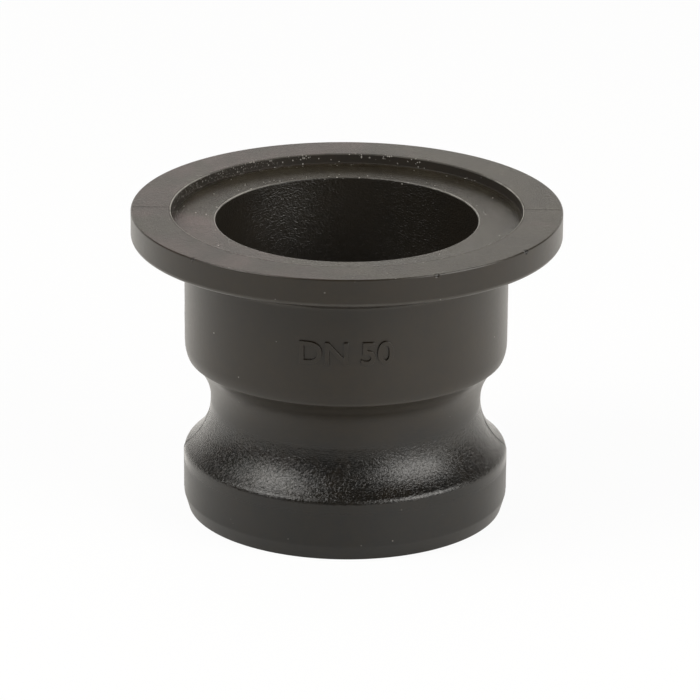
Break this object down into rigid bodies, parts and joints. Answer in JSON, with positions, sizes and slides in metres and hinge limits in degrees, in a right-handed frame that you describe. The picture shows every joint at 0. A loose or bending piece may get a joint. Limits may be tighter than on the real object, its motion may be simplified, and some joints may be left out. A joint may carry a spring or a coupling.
{
  "type": "flanged camlock adapter",
  "caption": "Round one-piece pipe fitting: flat clamp flange with a gasket recess on a collar, above a cam-grooved neck and a plain nose, bored through.",
  "frame": {"origin": "centre of the nose's end face, on the axis", "axes": "+Z along the axis from the nose to the flange face; the mould's parting plane is XZ, +X to the right as the fitting is seen from the front"},
  "size_m": [0.0834, 0.0834, 0.0606],
  "materials": {
    "body": "moulded black polypropylene, satin"
  },
  "bodies": {
    "root": {"adapter_body": "body"}
  },
  "joints": []
}
